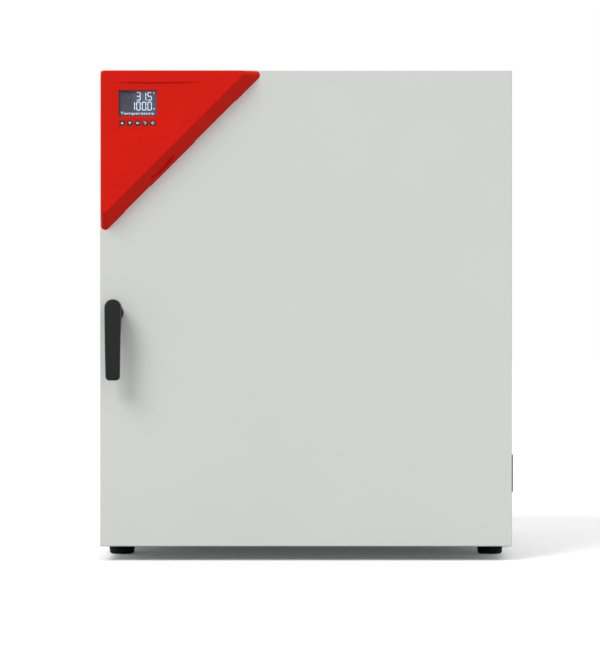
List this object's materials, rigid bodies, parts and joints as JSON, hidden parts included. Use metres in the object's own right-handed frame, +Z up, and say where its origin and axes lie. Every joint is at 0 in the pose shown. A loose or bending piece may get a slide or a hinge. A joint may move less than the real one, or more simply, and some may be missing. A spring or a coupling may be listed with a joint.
{
  "type": "laboratory drying oven",
  "caption": "Floor-standing laboratory drying oven with one insulated door, a triangular control housing, a pull handle, wire racks, fan and exhaust duct.",
  "frame": {"origin": "on the floor under the middle of the oven", "axes": "+X to the right of someone facing the door, +Y to the rear, +Z up"},
  "size_m": [0.8216, 0.8438, 0.965],
  "materials": {
    "casing_paint": "satin",
    "stainless": "satin",
    "zinc_steel": "satin",
    "heater_steel": "satin",
    "motor_aluminium": "satin",
    "mineral_wool": "matte",
    "silicone": "matte",
    "black_rubber": "matte",
    "black_plastic": "matte",
    "key_plastic": "gloss",
    "red_plastic": "satin",
    "white_plastic": "matte",
    "clear_plastic": "gloss",
    "display_glass": "gloss",
    "board_green": "matte"
  },
  "bodies": {
    "housing": {"left_side_panel": "casing_paint", "right_side_panel": "casing_paint", "top_panel": "casing_paint", "base_pan": "zinc_steel", "rear_panel": "zinc_steel", "rear_panel_screws": "zinc_steel", "front_frame": "casing_paint", "inner_chamber": "stainless", "chamber_insulation": "mineral_wool", "left_rack_rail": "stainless", "right_rack_rail": "stainless", "air_baffle": "stainless", "heating_coil": "heater_steel", "motor_plate": "zinc_steel", "fan_motor": "motor_aluminium", "temperature_probe": "stainless", "exhaust_duct": "stainless", "door_gasket": "silicone", "latch_strike": "zinc_steel", "front_left_foot": "black_rubber", "front_right_foot": "black_rubber", "rear_left_foot": "black_rubber", "rear_right_foot": "black_rubber", "side_switch_panel": "black_plastic", "power_module": "motor_aluminium", "cable_gland": "black_plastic", "upper_hinge_bracket": "zinc_steel", "lower_hinge_bracket": "zinc_steel", "upper_hinge_pin": "zinc_steel", "lower_hinge_pin": "zinc_steel"},
    "door": {"door_outer_panel": "casing_paint", "door_inner_panel": "stainless", "door_insulation": "mineral_wool", "upper_hinge_block": "white_plastic", "lower_hinge_block": "white_plastic", "control_housing": "red_plastic", "display_window": "clear_plastic", "display_module": "display_glass", "controller_board": "board_green", "handle_base": "black_plastic", "handle_pin": "zinc_steel", "latch_bracket": "zinc_steel", "latch_pin": "zinc_steel"},
    "handle": {"handle_lever": "black_plastic"},
    "push_rod": {"push_rod": "zinc_steel"},
    "latch": {"latch_hook": "zinc_steel"},
    "fan": {"fan_impeller": "stainless", "fan_shaft": "zinc_steel"},
    "exhaust_flap": {"exhaust_flap": "stainless", "flap_knob": "black_plastic"},
    "power_switch": {"power_switch": "black_plastic"},
    "upper_rack": {"upper_rack": "stainless"},
    "lower_rack": {"lower_rack": "stainless"},
    "button_1": {"button_1": "key_plastic"},
    "button_2": {"button_2": "key_plastic"},
    "button_3": {"button_3": "key_plastic"},
    "button_4": {"button_4": "key_plastic"},
    "button_5": {"button_5": "key_plastic"}
  },
  "joints": [
    {"name": "door_hinge", "type": "hinge", "parent": "housing", "child": "door", "pos_m": [0.395, -0.346, 0.5], "axis": [0, 0, 1], "range_deg": [0, 120]},
    {"name": "handle_pull", "type": "hinge", "parent": "door", "child": "handle", "pos_m": [-0.377, -0.4, 0.493], "axis": [-1, 0, 0], "range_deg": [0, 22], "stiffness_Nm_per_rad": 2},
    {"name": "push_rod_slide", "type": "slide", "parent": "door", "child": "push_rod", "axis": [0, 1, 0], "range_m": [0, 0.0062]},
    {"name": "latch_swing", "type": "hinge", "parent": "door", "child": "latch", "pos_m": [-0.377, -0.332, 0.487], "axis": [-1, 0, 0], "range_deg": [0, 20]},
    {"name": "fan_spin", "type": "hinge", "parent": "housing", "child": "fan", "pos_m": [0, 0.24, 0.49], "axis": [0, 1, 0], "continuous": true},
    {"name": "exhaust_flap_turn", "type": "hinge", "parent": "housing", "child": "exhaust_flap", "pos_m": [-0.18, 0.3965, 0.79], "axis": [0, 0, 1], "range_deg": [0, 90]},
    {"name": "power_switch_rock", "type": "hinge", "parent": "housing", "child": "power_switch", "pos_m": [0.408, -0.249, 0.1675], "axis": [0, 1, 0], "range_deg": [-18, 0]},
    {"name": "upper_rack_slide", "type": "slide", "parent": "housing", "child": "upper_rack", "axis": [0, -1, 0], "range_m": [0, 0.018]},
    {"name": "lower_rack_slide", "type": "slide", "parent": "housing", "child": "lower_rack", "axis": [0, -1, 0], "range_m": [0, 0.018]},
    {"name": "button_1_press", "type": "slide", "parent": "door", "child": "button_1", "axis": [0, 1, 0], "range_m": [0, 0.0012], "stiffness_N_per_m": 800},
    {"name": "button_2_press", "type": "slide", "parent": "door", "child": "button_2", "axis": [0, 1, 0], "range_m": [0, 0.0012], "stiffness_N_per_m": 800},
    {"name": "button_3_press", "type": "slide", "parent": "door", "child": "button_3", "axis": [0, 1, 0], "range_m": [0, 0.0012], "stiffness_N_per_m": 800},
    {"name": "button_4_press", "type": "slide", "parent": "door", "child": "button_4", "axis": [0, 1, 0], "range_m": [0, 0.0012], "stiffness_N_per_m": 800},
    {"name": "button_5_press", "type": "slide", "parent": "door", "child": "button_5", "axis": [0, 1, 0], "range_m": [0, 0.0012], "stiffness_N_per_m": 800}
  ],
  "couplings": [
    {"joint": "push_rod_slide", "follows": "handle_pull", "m_per_rad": 0.0156},
    {"joint": "latch_swing", "follows": "handle_pull", "ratio": 0.86}
  ]
}
